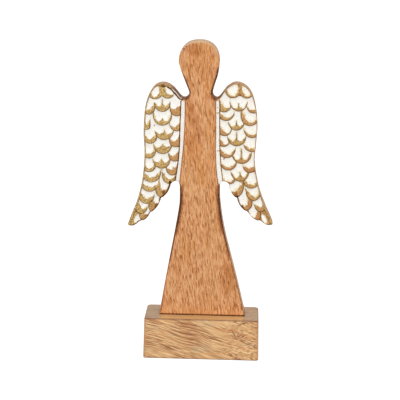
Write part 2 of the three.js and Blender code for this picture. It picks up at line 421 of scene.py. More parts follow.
# The white that runs on from the left groove up the shoulder, and the dark line beside it: how far
# inside the outline, the half widths, the heights over which it starts and ends, and its reach
shoulderPaint = {
    "white": {"gap": 0.9, "half": (0.3, 0.8), "start": (208, 210), "end": (218, 223), "out": 28},
    "dark": {"gap": 2.1, "half": (0.4, 1), "start": (209, 211), "end": (221, 225), "out": 31},
    "darkness": 0.9,
}

# the crown's painted highlight: how far inside the outline it ends, where it starts, and how it
# fades
crownHighlight = {"rim": (1, 2.2), "ups": (251, 259), "rightwards": (4, 14), "fade": 0.35}

# Painted shade along the edges, as (outline, lowest, highest, width, strength)
shadedEdges = {
    "left": [
        ("robe", 80, 128, 7, 0.66), ("robe", 86, 122, 4.8, 1), ("robe", 54, 132, 2.6, 0.92),
        ("robe", -4, 62, 2.2, 0.5),
        ("neck", 214, 234, 2.8, 0.85), ("neck", 203, 216, 3.8, 0.7),
        ("shoulder", 208, 221, 2.2, 0.75),
        ("trailing", 112, 132, 2.6, 1), ("trailing", 88, 112, 2.2, 0.8),
    ],
    "right": [
        ("robe", 82, 130, 7, 0.58), ("robe", 90, 124, 3.8, 1), ("robe", 60, 134, 2.8, 0.92),
        ("robe", -4, 66, 2, 0.5),
        ("neck", 213, 240, 3.2, 0.95), ("neck", 203, 215, 4.4, 0.7),
        ("shoulder", 208, 217, 2, 0.65),
        ("trailing", 100, 120, 2.4, 0.9), ("trailing", 90, 100, 1.6, 0.5),
    ],
}

# How much of each outline's painted shade shows on the board's sides, over what height and from
# what distance it fades, how much of it is lost at the back, and the painted contact shadow above
# the foot
edgeShading = {
    "onSides": {"robe": 0.15, "neck": 1, "shoulder": 1, "trailing": 0.8},
    "fadeUp": 4,
    "fadeFrom": 0.1,
    "lostAtBack": 0.5,
    "foot": (0.5, 1.8),
    "footStrength": 0.9,
}

# Small marks as (across, up, half width, half height, strength): dark spots, partly painted shade,
# then worn paint
darkSpots = {
    "left": [
        (-34.3, 223.1, 3, 1.3, 0.65), (-29.1, 131.4, 1.8, 1.8, 0.9), (-43.4, 185.6, 0.9, 1, 0.6),
        (-42.6, 107.6, 2.4, 4.6, 0.5), (-47.2, 113.1, 1, 1, 0.5), (-35.2, 121, 2.2, 4, 0.5),
        (-52.8, 98.5, 2.2, 2.4, 0.35), (-15.6, 211.8, 2.4, 1.2, 0.55), (-14.8, 258.2, 1.5, 1, 0.5),
        (-12.2, 260.6, 1.4, 0.9, 0.5), (-9, 262, 1.6, 0.7, 0.4),
    ],
    "right": [
        (34.2, 117, 2.6, 1.6, 0.8), (33.4, 119.6, 2.4, 2.6, 0.4), (39.8, 106.6, 1.6, 3.2, 0.7),
        (16.6, 211.6, 2.6, 1.2, 0.5), (16.9, 197.3, 2, 0.8, 0.5), (17.2, 161.2, 1.8, 0.7, 0.5),
        (16.6, 202.6, 0.8, 0.6, 0.6),
    ],
}
wornPatches = {
    "left": [
        (-21.2, 199.4, 2.1, 6, 0.85), (-23.4, 167.3, 3.2, 2.8, 0.7), (-22.6, 156, 2.4, 4.4, 0.6),
        (-25.6, 142.8, 2.2, 5, 0.55), (-38.6, 118.4, 3, 2.2, 0.4),
    ],
    "right": [
        (37.9, 215.6, 2, 3.6, 1), (50.4, 142.1, 2.2, 2.4, 0.8), (22.4, 153.4, 1.8, 2.4, 0.5),
    ],
}

# Broad soft tones of the robe and head, in the same form: deeper where positive, else paler
woodTones = [
    (-3, 257, 14, 10, 0.9), (0, 240, 17, 16, 0.35), (13, 232, 6, 14, 0.5), (15, 255, 6, 8, -0.8),
    (-14, 249, 5, 8, -0.5), (-11, 203, 9, 10, 1), (-7, 192, 9, 11, 1), (-2, 181, 8, 12, 0.7),
    (-8, 167, 8, 16, 0.7), (9, 206, 7, 12, -0.6), (10, 158, 8, 10, 0.3), (10, 138, 8, 12, -0.6),
    (26, 36, 15, 26, 0.8), (-25, 50, 9, 16, 0.4), (-31, 13, 9, 12, 0.5), (0, 12, 22, 10, -0.4),
]

# Below the given height the feathers turn outwards with the wing, most at its tip.
wingTurn = {"degreesAtTip": 28, "startUp": 150, "tipUp": 92, "ease": 1.5}


def scallopPath(start, end, bulge):
    first, last = (Vector((across, 0, up)) for across, up in (start, end))
    along = (last - first).normalized()
    outwards = Vector((along.z, 0, -along.x)) * bulge * 2
    control = (first + last) / 2 + outwards
    handles = (first.lerp(control, 2 / 3), last.lerp(control, 2 / 3))
    return interpolate_bezier(first, *handles, last, board["steps"]["scallop"] + 1)


def trailingEdge(side):
    # the row of scallops from the armpit out to the wing's tip
    notches = wingSide[side]["notches"]
    path = [Vector((notches[0][0], 0, notches[0][1]))]
    for i, (start, end) in enumerate(zip(notches, notches[1:])):
        isTip = i == len(notches) - 2
        bulge = scallops["tipBulge"] if isTip else scallops["bulge"]
        path += scallopPath(start, end, outward[side] * bulge)[1:]
    return path


def armpitArch(side):
    arch = bodySide[side]["armpit"]
    steps = board["steps"]["arch"]
    wingEnd = math.pi / 5
    start, end = (0, math.pi - wingEnd) if side == "left" else (math.pi, wingEnd)
    angles = [start + (end - start) * i / steps for i in range(1, steps)]
    return [Vector((
        arch["across"] + arch["halfWidth"] * math.cos(a),
        0,
        arch["up"] + arch["rise"] * math.sin(a),
    )) for a in angles]


def neckLine(side):
    # from where the head is widest down to the shoulder
    head = board["head"]
    temple = head["across"] + head["halfWidth"] * outward[side]
    return [(temple, head["centreUp"])] + bodySide[side]["neck"]


def sideOutline(side):
    # one side of the silhouette, from the foot up to where the head is widest
    fromHead = neckLine(side) + wingSide[side]["contour"]
    return (
        outlinePath(bodySide[side]["robe"], "robe")
        + armpitArch(side)
        + trailingEdge(side)
        + outlinePath(fromHead, "contour")[::-1]
    )


def headTop():
    # the crown of the head, a little fuller than an ellipse
    head = board["head"]
    steps = board["steps"]["crown"]
    power = 2 / head["fullness"]
    points = []
    for i in range(1, steps):
        angle = math.pi * (1 - i / steps)
        x, y = math.cos(angle), math.sin(angle)
        points.append(Vector((
            head["across"] + head["halfWidth"] * math.copysign(abs(x) ** power, x),
            0,
            head["centreUp"] + head["halfHeight"] * y ** power,
        )))
    return points


def boardBlank(bm):
    # the silhouette, given its thickness, with both of its rims eased
    outline = sideOutline("left") + headTop() + sideOutline("right")[::-1]
    frontY = -board["thickness"] / 2
    face = bm.faces.new([bm.verts.new((p.x, frontY, p.z)) for p in outline])
    face.normal_update()
    extruded = bmesh.ops.extrude_face_region(bm, geom=[face])["geom"]
    moved = [g for g in extruded if isinstance(g, bmesh.types.BMVert)]
    bmesh.ops.translate(bm, verts=moved, vec=(0, board["thickness"], 0))
    bmesh.ops.recalc_face_normals(bm, faces=bm.faces)
    rims = [e for e in bm.edges if abs(e.verts[0].co.y - e.verts[1].co.y) < 1e-6]
    ease(bm, rims, board["edge"], board["edgeSegments"], clamp=False)


def frontLimit():
    # how far back the front reaches, with its eased rim
    return -board["thickness"] / 2 + board["edge"] + 1e-3


def frontFace(bm):
    return min(bm.faces, key=lambda f: (round(f.calc_center_median().y, 3), -f.calc_area()))


def nearestVert(verts, across, up):
    return min(verts, key=lambda v: math.hypot(v.co.x - across, v.co.z - up))


def splitWing(bm, side):
    # parts the wing's front from the body's, just on the body's side of the groove
    inset = board["splitInset"] * outward[side]
    line = [(across - inset, up) for across, up in wingSide[side]["grooveBody"]]
    path = outlinePath(line, "split")[1:-1]
    face = frontFace(bm)
    top = nearestVert(face.verts, line[0][0], line[0][1] + 2)
    arch = bodySide[side]["armpit"]
    low = nearestVert(face.verts, line[-1][0], arch["up"])
    path = [p for p in path if p.z > low.co.z + 1]
    coords = [Vector((p.x, face.verts[0].co.y, p.z)) for p in path]
    bmesh.utils.face_split(face, top, low, coords=coords)


def stripCut(bm, faces, axis, spacing):
    # cuts the faces across an axis, step by step, passing on only what lies beyond the last cut
    direction = Vector([1 if i == axis else 0 for i in range(3)])
    ends = [v.co[axis] for f in faces for v in f.verts]
    position = min(ends) + spacing
    ahead = list(faces)
    done = []
    while position < max(ends) and ahead:
        geometry = {g for f in ahead for g in (f, *f.edges, *f.verts)}
        cut = bmesh.ops.bisect_plane(
            bm, geom=list(geometry), dist=1e-5, plane_co=direction * position, plane_no=direction,
        )
        pieces = [g for g in cut["geom"] if isinstance(g, bmesh.types.BMFace)]
        ahead = []
        for piece in pieces:
            beyond = max(v.co[axis] for v in piece.verts) > position + 1e-4
            (ahead if beyond else done).append(piece)
        position += spacing
    return done + ahead


def gridFaces(bm):
    # lays a fine grid over the fronts of both wings, and coarse ones over the body and the back
    back = max(bm.faces, key=lambda f: f.calc_center_median().y * f.calc_area())
    front = [f for f in bm.faces if f.calc_center_median().y < frontLimit() and f.normal.y < -0.1]
    # the three large faces are the body and the wings
    large = sorted(front, key=lambda f: f.calc_area(), reverse=True)[:3]
    body = min(large, key=lambda f: abs(f.calc_center_median().x))

    def onWing(face):
        centre = face.calc_center_median()
        inner = wingArea["inner" if centre.z > wingArea["armpit"] else "innerBelow"]
        inHeight = wingArea["lowest"] < centre.z < wingArea["highest"]
        return face is not body and abs(centre.x) > inner and inHeight

    strips = []
    for sign in outward.values():
        wing = [f for f in front if onWing(f) and f.calc_center_median().x * sign > 0]
        strips += stripCut(bm, wing, 0, board["wingGrid"])
    stripCut(bm, stripCut(bm, [body], 0, board["bodyGrid"]), 2, board["bodyGrid"])
    stripCut(bm, stripCut(bm, [back], 0, board["backGrid"]), 2, board["backGrid"])
    stripCut(bm, [f for f in strips if f.is_valid], 2, board["wingGrid"])


def edgeDistance(points, path):
    # shortest distance from each point to the path
    starts = np.array([(p.x, p.z) for p in path[:-1]])
    ends = np.array([(p.x, p.z) for p in path[1:]])
    best = np.full(len(points), 1e9)
    for start, end in zip(starts, ends):
        along = end - start
        share = np.clip(((points - start) @ along) / (along @ along), 0, 1)
        gap = np.linalg.norm(points - start - share[:, None] * along, axis=1)
        best = np.minimum(best, gap)
    return best


def turnAt(side, up):
    share = (wingTurn["startUp"] - up) / (wingTurn["startUp"] - wingTurn["tipUp"])
    return wingTurn["degreesAtTip"] * min(max(share, 0), 1) ** wingTurn["ease"]


def ovalAround(across, up, halfWidth, halfHeight, tilt):
    # one on the oval's edge, less inside it; its top leans right by the tilt
    angle = math.radians(tilt)
    a = across * math.cos(angle) - up * math.sin(angle)
    b = across * math.sin(angle) + up * math.cos(angle)
    return np.hypot(a / halfWidth, b / halfHeight)


def hollowIn(across, above, shape, horns):
    # one on the edge of a feather's hollow, less inside it
    overWall = carving["overWall"]
    room = shape["halfWidth"] + overWall - (shape["wall"] + overWall) * horns
    lip, rib = shape["lip"], shape["rib"]
    reach = carving["ribReach"] if rib else carving["reach"]
    down = np.minimum(above - lip - reach, 0) / reach
    power = carving["hollowPower"]
    whole = (np.abs(across / room) ** power + np.abs(down) ** power) ** (1 / power)
    if not rib:
        return whole
    ribHalf = carving["rib"] / 2 * np.clip((lip + rib - above) / rib, 0, 1)
    narrow = (room - ribHalf) / 2
    lobes = np.hypot((np.abs(across) - ribHalf - narrow) / narrow, down)
    share = smoothStep(above - lip - rib, *carving["ribEnds"])
    return lobes * (1 - share) + whole * share


def ribLineIn(across, above, shape, side):
    # the dark line on a feather's rib, one in its middle
    if not shape["rib"]:
        return np.zeros(len(across))
    low, high = shape["lip"], shape["lip"] + shape["rib"]
    share = lineShare(across, strokes["ribLine"]) * smoothStep(above, low - 1, low + 1)
    return share * (1 - smoothStep(above, high - 2, high)) * paint[side]["ribLine"]


def featherIn(points, shape, side, sign):
    # how far one feather covers each point, and its depth and paint there
    angle = -sign * math.radians(turnAt(side, shape["up"]) + shape["turn"])
    halfWidth, horn = shape["halfWidth"], shape["horn"]
    dx, dz = points[:, 0] - shape["across"], points[:, 1] - shape["up"]
    across = dx * math.cos(angle) - dz * math.sin(angle)
    above = dx * math.sin(angle) + dz * math.cos(angle)
    bottom = halfWidth * carving["roundness"]
    radius = np.hypot(across / halfWidth, np.minimum(above - bottom, 0) / bottom)
    inside = (1 - radius) * halfWidth
    horns = 1 - smoothStep(above, horn / 2, horn)
    if shape["oval"]:
        centre, size = shape["oval"][:2], shape["oval"][2:]
        hollow = ovalAround(points[:, 0] - centre[0], points[:, 1] - centre[1], *size)
    else:
        hollow = hollowIn(across - sign * shape["shift"], above, shape, horns)
    fading = 1 - smoothStep(above, *carving["scoopEnds"])
    bowl = carving["scoop"] * np.clip(1 - hollow ** 2, 0, 1) ** carving["scoopPower"] * fading
    rounding = carving["lipRoundDepth"] * (1 - np.clip(inside / carving["lipRound"], 0, 1)) ** 2
    # the lip's dark edge line is partly darker paint and partly painted shade where the lip drops
    lipLine = 1 - smoothStep(inside, strokes["lipLineStart"], paint[side]["line"])
    ribLine = ribLineIn(across, above, shape, side)
    slope = carving["slope"] * np.maximum(above, 0)
    cover = smoothStep(inside, -carving["softness"], carving["softness"])
    return cover, {
        "depth": carving["lipDepth"] + slope + bowl + rounding,
        "away": (hollow - 1) * carving["hollowSize"],
        "outline": np.maximum(lipLine * horns, ribLine),
        "wear": np.full(len(points), float(shape["wear"])),
    }


def carvedWing(points, side, sign):
    # depth and paint at each point, from the feathers laid from the tip to the shoulder
    field = {
        "depth": np.full(len(points), float(carving["floor"])),
        "away": np.full(len(points), float(strokes["edgeReach"])),
        "outline": np.zeros(len(points)),
        "wear": np.zeros(len(points)),
    }
    for shape in sorted(feathers[side], key=lambda f: f["up"]):
        cover, own = featherIn(points, shape, side, sign)
        for name, values in own.items():
            field[name] = field[name] * (1 - cover) + values * cover
    return field


def lineAt(side, name, ups):
    # how far across a groove's edge lies at the given heights
    line = outlinePath(wingSide[side][name], "groove")[::-1]
    return np.abs(np.interp(ups, [p.z for p in line], [p.x for p in line]))


def lineShare(gap, half):
    # one on a line, fading out between its two half widths
    return 1 - smoothStep(np.abs(gap), *half)


def radiusIn(points, across, up, halfWidth, halfHeight):
    # one on the edge of an upright oval, less inside it
    return np.hypot((points[:, 0] - across) / halfWidth, (points[:, 1] - up) / halfHeight)


def toneAt(points):
    tone = np.zeros(len(points))
    for *oval, strength in woodTones:
        tone += strength * (1 - smoothStep(radiusIn(points, *oval), *strokes["toneFades"]))
    return tone


def marksAt(points, marks):
    share = np.zeros(len(points))
    for *oval, strength in marks:
        fading = 1 - smoothStep(radiusIn(points, *oval), *strokes["markFades"])
        share = np.maximum(share, strength * fading)
    return share


def wingFront(co, side, sign):
    # which points are on one wing's front, from just inside its groove
    outwards, ups = co[:, 0] * sign, co[:, 2]
    isFront = co[:, 1] < frontLimit()
    pastBody = outwards > lineAt(side, "grooveBody", ups) - board["splitInset"]
    inHeight = (ups > carvedArea["lowest"]) & (ups < carvedArea["highest"])
    clear = (ups > carvedArea["armpit"]) | (outwards > carvedArea["innerBelow"])
    return np.where(isFront & pastBody & inHeight & clear)[0]


def carveSide(co, values, side):
    # moves one wing's front back to its feathers, and fills in what it is painted with
    sign = outward[side]
    brush = paint[side]
    chosen = wingFront(co, side, sign)
    here = co[chosen][:, [0, 2]]
    outwards, ups = here[:, 0] * sign, here[:, 1]
    bodyGap = outwards - lineAt(side, "grooveBody", ups)
    wingGap = outwards - lineAt(side, "grooveWing", ups)
    rimGap = edgeDistance(here, outlinePath(wingSide[side]["contour"], "contour"))
    field = carvedWing(here, side, sign)
    soft, rimSoft = carving["softness"], strokes["rimSoftness"]
    belowTop = smoothStep(wingSide[side]["grooveBody"][0][1] - ups, -rimSoft, rimSoft)
    groove = smoothStep(bodyGap, -soft, soft) * smoothStep(-wingGap, -soft, soft) * belowTop
    rim = brush["rim"] + strokes["tipRim"] * (1 - smoothStep(ups, *strokes["tipRimUps"]))
    pastRim = smoothStep(rimGap, rim - rimSoft, rim + rimSoft)
    carved = pastRim * smoothStep(wingGap, -soft, soft) * (1 - groove)
    co[chosen, 1] += field["depth"] * carved + carving["grooveDepth"] * groove

    worn = marksAt(here, wornPatches[side]) * carved
    gilding = np.clip(0.5 + field["away"] / 2 / strokes["edgeReach"], 0, 1) * carved
    rimGold = brush["rimGold"] * (1 - pastRim)
    sheen = smoothStep(field["away"], -brush["sheen"], 0) * brush["sheenShare"]
    values["white"][chosen] = np.maximum(carved, groove)
    values["gilding"][chosen] = np.maximum(np.maximum(gilding, worn), rimGold)
    values["sheen"][chosen] = sheen * carved
    values["outline"][chosen] = field["outline"] * carved
    values["wear"][chosen] = np.maximum((field["wear"] + brush["wear"]) * carved, worn)

    # painted shade along the groove's own edges
    wingLine = lineShare(wingGap - strokes["wingLineGap"], strokes["wingLine"])
    wingLine *= brush["grooveLine"] * belowTop
    bodyLine = lineShare(bodyGap - strokes["bodyLineGap"], strokes["bodyLine"])
    bodyLine *= strokes["bodyLineStrength"] * belowTop
    values["shadeAndSpots"][chosen] = np.maximum(values["shadeAndSpots"][chosen], np.maximum(wingLine, bodyLine))
    if side == "left":
        paintShoulder(values, chosen, rimGap, outwards, ups)


def shoulderLine(rimGap, outwards, ups, line):
    share = lineShare(rimGap - line["gap"], line["half"]) * smoothStep(ups, *line["start"])
    return share * (1 - smoothStep(ups, *line["end"])) * (outwards < line["out"])


def paintShoulder(values, chosen, rimGap, outwards, ups):
    # the white that runs on from the groove, and the dark line beside it
    white, dark = (
        shoulderLine(rimGap, outwards, ups, shoulderPaint[name]) for name in ("white", "dark")
    )
    dark *= shoulderPaint["darkness"]
    values["shadeAndSpots"][chosen] = np.maximum(values["shadeAndSpots"][chosen], dark) * (1 - white)
    values["white"][chosen] = np.maximum(values["white"][chosen], white)
    values["gilding"][chosen] *= 1 - white


def shadedEdgePaths(side):
    # the parts of the outline that get painted shade
    return {
        "robe": outlinePath(bodySide[side]["robe"], "robe"),
        "neck": outlinePath(neckLine(side), "neck"),
        "shoulder": outlinePath(wingSide[side]["contour"][:3], "contour"),
        "trailing": trailingEdge(side),
    }


def paintShadeAndSpots(co, values):
    # darkens the board with painted shade along its edges and at the foot, and with dark spots
    points = co[:, [0, 2]]
    isFront = co[:, 1] < 0
    shadeAndSpots = values["shadeAndSpots"]
    fade = edgeShading["fadeUp"]
    for side in outward:
        paths = shadedEdgePaths(side)
        for name, lowest, highest, width, strength in shadedEdges[side]:
            onSides = 1 - (1 - edgeShading["onSides"][name]) * values["side"]
            along = smoothStep(points[:, 1], lowest - fade, lowest + fade)
            along *= 1 - smoothStep(points[:, 1], highest - fade, highest + fade)
            near = 1 - smoothStep(edgeDistance(points, paths[name]), edgeShading["fadeFrom"], width)
            shadeAndSpots[:] = np.maximum(shadeAndSpots, strength * along * near * onSides)
        shadeAndSpots[:] = np.maximum(shadeAndSpots, marksAt(points, darkSpots[side]) * isFront)
    shadeAndSpots *= 1 - edgeShading["lostAtBack"] * smoothStep(co[:, 1], 0, board["thickness"] / 2)
    # a painted contact shadow along the foot, level with the block although the board leans
    lean = math.radians(board["leanDegrees"])
    above = points[:, 0] * math.sin(lean) + points[:, 1] * math.cos(lean)
    footShadow = edgeShading["footStrength"] * (1 - smoothStep(above, *edgeShading["foot"]))
    shadeAndSpots[:] = np.maximum(shadeAndSpots, footShadow)


def paintBoard(mesh):
    # carves the wings, and keeps what each point is painted with
    count = len(mesh.vertices)
    co = np.empty(count * 3)
    mesh.vertices.foreach_get("co", co)
    co = co.reshape(-1, 3)
    half = board["thickness"] / 2
    names = ("white", "gilding", "sheen", "outline", "wear", "shadeAndSpots")
    values = {name: np.zeros(count) for name in names}
    values["side"] = smoothStep(half - np.abs(co[:, 1]), 0, board["edge"])
    # a painted highlight: the crown of the head is paler, down over its front rim
    rimGap = edgeDistance(co[:, [0, 2]], headTop())
    crown = (1 - smoothStep(rimGap, *crownHighlight["rim"])) * smoothStep(co[:, 2], *crownHighlight["ups"])
    crown *= 1 - crownHighlight["fade"] * smoothStep(co[:, 0], *crownHighlight["rightwards"])
    values["headTop"] = crown
    values["tone"] = toneAt(co[:, [0, 2]]) * (co[:, 1] < 0)
    paintShadeAndSpots(co, values)
    for side in outward:
        carveSide(co, values, side)
    # no paint runs over onto the sides
    for name in ("white", "gilding", "sheen", "outline"):
        values[name] *= values["side"] < strokes["sideFrom"]
    mesh.vertices.foreach_set("co", co.ravel())
    for name, array in values.items():
        layer = mesh.attributes.new(name, "FLOAT", "POINT")
        layer.data.foreach_set("value", array.astype(np.float32))
    mesh.update()


def standOnBlock(piece):
    # leans the board, and trims its foot level with the block's top
    bm = bmesh.new()
    bm.from_mesh(piece.data)
    lean = Matrix.Rotation(math.radians(-board["leanDegrees"]), 4, "Y")
    place = Matrix.Translation((0, 0, board["standsAt"])) @ lean
    bmesh.ops.transform(bm, matrix=Matrix.Scale(1 / perMetre, 4) @ place, verts=bm.verts)
    level = board["standsAt"] / perMetre
    cut = bmesh.ops.bisect_plane(
        bm, geom=bm.verts[:] + bm.edges[:] + bm.faces[:], dist=1e-7,
        plane_co=(0, 0, level), plane_no=(0, 0, -1), clear_outer=True,
    )
    edges = [g for g in cut["geom_cut"] if isinstance(g, bmesh.types.BMEdge)]
    bmesh.ops.contextual_create(bm, geom=edges)
    ease(bm, edges, board["footEdge"] / perMetre, board["footSegments"])
    bmesh.ops.recalc_face_normals(bm, faces=bm.faces)
    bm.to_mesh(piece.data)
    bm.free()
    piece.data.update()


# The board's finish. Its grain leans a little from the upright; colours are as seen on screen.
boardFinish = {
    "lean": 7,
    "specular": 0.22,
    "bump": (0.15, 0.0004),
}

boardColours = {
    "tan": (204, 144, 90),
    "rose": (216, 154, 104),
    "amber": (206, 134, 68),
    "pale": (234, 186, 134),
    "dark": (178, 106, 48),
    "dash": (150, 80, 26),
    "deeper": (233, 214, 188),
    "paler": (226, 170, 124),
    # the sides' paler colour is partly a painted sheen
    "sides": (203, 168, 134),
    "sawMarks": (172, 134, 100),
    # a painted highlight on the crown's rim
    "headTop": (212, 181, 147),
    # painted shade along the edges and at the foot, also used for the dark spots
    "shadeAndSpotTint": (208, 166, 118),
    "shadeAndSpotBlack": (64, 34, 14),
    "shadeAndSpotBrown": (116, 74, 38),
    "sideShadeAndSpot": (136, 104, 66),
    "white": (246, 244, 238),
    "whiteShade": (230, 222, 206),
    "gold": (184, 151, 95),
    "goldDark": (132, 101, 52),
    "goldPale": (226, 202, 130),
    "goldWorn": (170, 112, 66),
    "sheen": (230, 204, 124),
    "line": (114, 78, 38),
}


def boardGrain(tree, colours):
    # short dark dashes and paler threads over broad patches of tan, rose and amber
    lean = (0, boardFinish["lean"], 0)
    broad = noise(millimetres(tree, (1, 1, 0.35), lean), 0.07, 3, 0.55, 0.5)
    warm = noise(millimetres(tree, (1, 1, 0.45), lean, (70, 0, 30)), 0.055, 2, 0.5, 0.3)
    warmerUp = band(apart(millimetres(tree))["Z"], 180, 270, (0, 0.1))
    warm = maths("ADD", warm, warmerUp)
    threads = noise(millimetres(tree, (1, 1, 0.14), lean), 1.25, 2, 0.6, 0.3)
    dashes = noise(millimetres(tree, (1, 1, 0.16), lean, (90, 0, 40)), 0.95, 1, 0.5, 0.2)
    wood = mixColour(band(broad, 0.34, 0.66), colours["tan"], colours["rose"])
    tone = attribute(tree, "tone")
    wood = layered(wood, (
        ("amber", warm, 0.5, 0.68, 0.6),
        ("pale", threads, 0.5, 0.68, 0.7),
        ("dark", threads, 0.5, 0.34, 0.8),
        ("dash", dashes, 0.56, 0.72, 0.9),
    ), colours)
    wood = mixColour(band(tone, 0, 0.8), wood, colours["deeper"], "MULTIPLY")
    return layered(wood, [("paler", tone, 0, -1, 0.6)], colours), dashes


def sawnSides(tree, wood, colours):
    # the sawn sides, partly a painted pale sheen, and the crown's rim with its painted highlight
    saw = noise(millimetres(tree, (0.6, 0.06, 1)), 0.9, 2)
    sawn = mixColour(band(saw, 0.46, 0.64), colours["sides"], colours["sawMarks"])
    wood = mixColour(times(attribute(tree, "side"), 0.6), wood, sawn)
    crownHighlightShare = times(attribute(tree, "headTop"), 0.75)
    return mixColour(crownHighlightShare, wood, colours["headTop"])


def rubbedGold(tree, speckle, colours):
    # gold with darker and paler flecks, worn brown in places
    gold = mixColour(band(speckle, 0.46, 0.62), colours["gold"], colours["goldDark"])
    gold = layered(gold, [("goldPale", speckle, 0.44, 0.34, 0.8)], colours)
    return mixColour(times(attribute(tree, "wear"), 0.7), gold, colours["goldWorn"])


def shadeAndSpotColour(tree, speckle, colours):
    # the deepest painted shade and the dark spots: mottled, and paler on the sides
    shadeAndSpotBrown = band(speckle, 0.48, 0.64)
    shadeAndSpotBlack = mixColour(shadeAndSpotBrown, colours["shadeAndSpotBlack"], colours["shadeAndSpotBrown"])
    sideShare = times(attribute(tree, "side"), 0.75)
    return mixColour(sideShare, shadeAndSpotBlack, colours["sideShadeAndSpot"])


def waxedWood():
    material, tree, shader = newMaterial("waxedWood")
    colours = linearColours(boardColours)
    wood, dashes = boardGrain(tree, colours)
    wood = sawnSides(tree, wood, colours)
    fine = noise(millimetres(tree), 0.7, 3, 0.6)
    speckle = noise(millimetres(tree, shift=(30, 0, 0)), 0.85, 2, 0.6)
    rough = noise(millimetres(tree, shift=(0, 0, 60)), 0.32, 1)
    ragged = swinging(fine, 0.7)
    wandering = maths("ADD", times(ragged, 0.75), swinging(rough, 0.5))

    def share(name, low, high, edge=ragged):
        # where a kind of paint lies, with a ragged edge
        return band(maths("ADD", attribute(tree, name), edge), low, high)

    shade = band(fine, 0.4, 0.7, (0, 0.5))
    white = mixColour(shade, colours["white"], colours["whiteShade"])
    colour = mixColour(share("white", 0.35, 0.65), wood, white)
    sheen = times(share("sheen", 0, 1.1), band(fine, 0.42, 0.6, (0.15, 1)))
    colour = mixColour(sheen, colour, colours["sheen"])
    goldShare = share("gilding", 0.38, 0.6, wandering)
    colour = mixColour(goldShare, colour, rubbedGold(tree, speckle, colours))
    # dark lines round the lips and ribs, partly painted shade where the lips drop
    outlined = times(share("outline", 0, 0.9), 0.82)
    colour = mixColour(outlined, colour, colours["line"])
    # painted shade along the edges and at the foot, and dark spots: a tint, then the deep colour
    shadeAndSpotTint = share("shadeAndSpots", 0.08, 0.5)
    colour = mixColour(shadeAndSpotTint, colour, colours["shadeAndSpotTint"], "MULTIPLY")
    deepShadeAndSpots = share("shadeAndSpots", 0.2, 0.85)
    colour = mixColour(deepShadeAndSpots, colour, shadeAndSpotColour(tree, speckle, colours))
    matt = maths("MAXIMUM", band(dashes, 0.4, 0.7, (0.5, 0.65)), deepShadeAndSpots)
    feed(shader, "Base Color", colour)
    feed(shader, "Metallic", times(goldShare, 0.3))
    feed(shader, "Roughness", matt)
    feed(shader, "Specular IOR Level", boardFinish["specular"])
    feed(shader, "Normal", bump(dashes, *boardFinish["bump"]))
    return material


def makeAngel():
    bm = bmesh.new()
    boardBlank(bm)
    for side in outward:
        splitWing(bm, side)
    gridFaces(bm)
    print("board cut:", len(bm.faces), "faces")
    angel = objectFrom(bm, "angel", waxedWood())
    paintBoard(angel.data)
    standOnBlock(angel)
    softEdges(angel)
    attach(angel, "root")
    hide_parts("angel_figure")
    print("angel carved:", len(angel.data.vertices), "points")
    return angel


makeAngel()


# The block, a little wider at its foot than at its top
block = {
    "width": 110,
    "depth": 50,
    "height": 40,
    "frontCorner": 2.5,
    "backCorner": 4.5,
    "cornerSegments": 6,
    "edge": 1,
    "edgeSegments": 3,
    "flare": 0.013,
}


# The block's finish: its grain falls to the right, and curls towards its right end. The top is
# painted greyer as a painted sheen, and a warm tone before the foot is painted light thrown from
# the board.
blockFinish = {
    "slope": -15,
    "curlSlope": -6,
    "greySlope": -4,
    "curls": (14, 36),
    "facing": (0.7, 0.95),
    "endTone": (51, 54.5, (0, 0.4)),
    "topSheenTone": (-30, 30, (0.58, 0.42)),
    "besideFoot": (43, 38),
    "paintedBounceBeforeFoot": (-9, -11, (0, 0.45)),
    "roughness": 0.32,
    "bump": (0.1, 0.0002),
}

blockColours = {
    "tan": (184, 126, 73),
    "straw": (214, 163, 107),
    "pale": (239, 199, 144),
    "dark": (130, 76, 34),
    "orange": (192, 116, 50),
    "grey": (170, 152, 118),
    "ends": (196, 132, 72),
    "edge": (122, 74, 34),
    # the top's greyer colour is a painted sheen; the warm tone before the foot is painted board
    # light
    "top": (166, 140, 108),
    "paintedBounceBeforeFoot": (255, 206, 138),
}


def blockGrain(tree, place, colours):
    # dark lines and pale threads along the slope
    slope = millimetres(tree, turn=(0, blockFinish["slope"], 0))
    flow = waved(slope, 0.03, 9)
    eddies = waved(millimetres(tree, turn=(0, blockFinish["curlSlope"], 0)), 0.11, 9)
    lines = noise(squeeze(flow, (0.035, 1, 1)), 1.5, 1)
    curls = noise(squeeze(eddies, (0.2, 1, 1)), 1.15, 1)
    lines = mixValue(band(place["X"], *blockFinish["curls"]), lines, curls)
    threads = noise(squeeze(waved(slope, 0.04, 6), (0.04, 1, 1)), 1.9, 1)
    broad = noise(squeeze(flow, (0.3, 1, 1)), 0.1)
    streaks = noise(squeeze(flow, (0.16, 1, 1)), 0.3)
    greyTurn = (0, blockFinish["greySlope"], 0)
    grey = noise(millimetres(tree, (0.3, 1, 1), greyTurn, (0, 0, 50)), 0.14, 1)
    wood = mixColour(band(broad, 0.34, 0.64), colours["tan"], colours["straw"])
    wood = layered(wood, (
        ("orange", streaks, 0.52, 0.66, 0.55),
        ("grey", grey, 0.6, 0.72, 0.5),
        ("pale", threads, 0.48, 0.6, 0.9),
    ), colours)
    inked = times(band(lines, 0.49, 0.63), band(broad, 0.35, 0.6, (1, 0.6)))
    return mixColour(inked, wood, colours["dark"]), lines


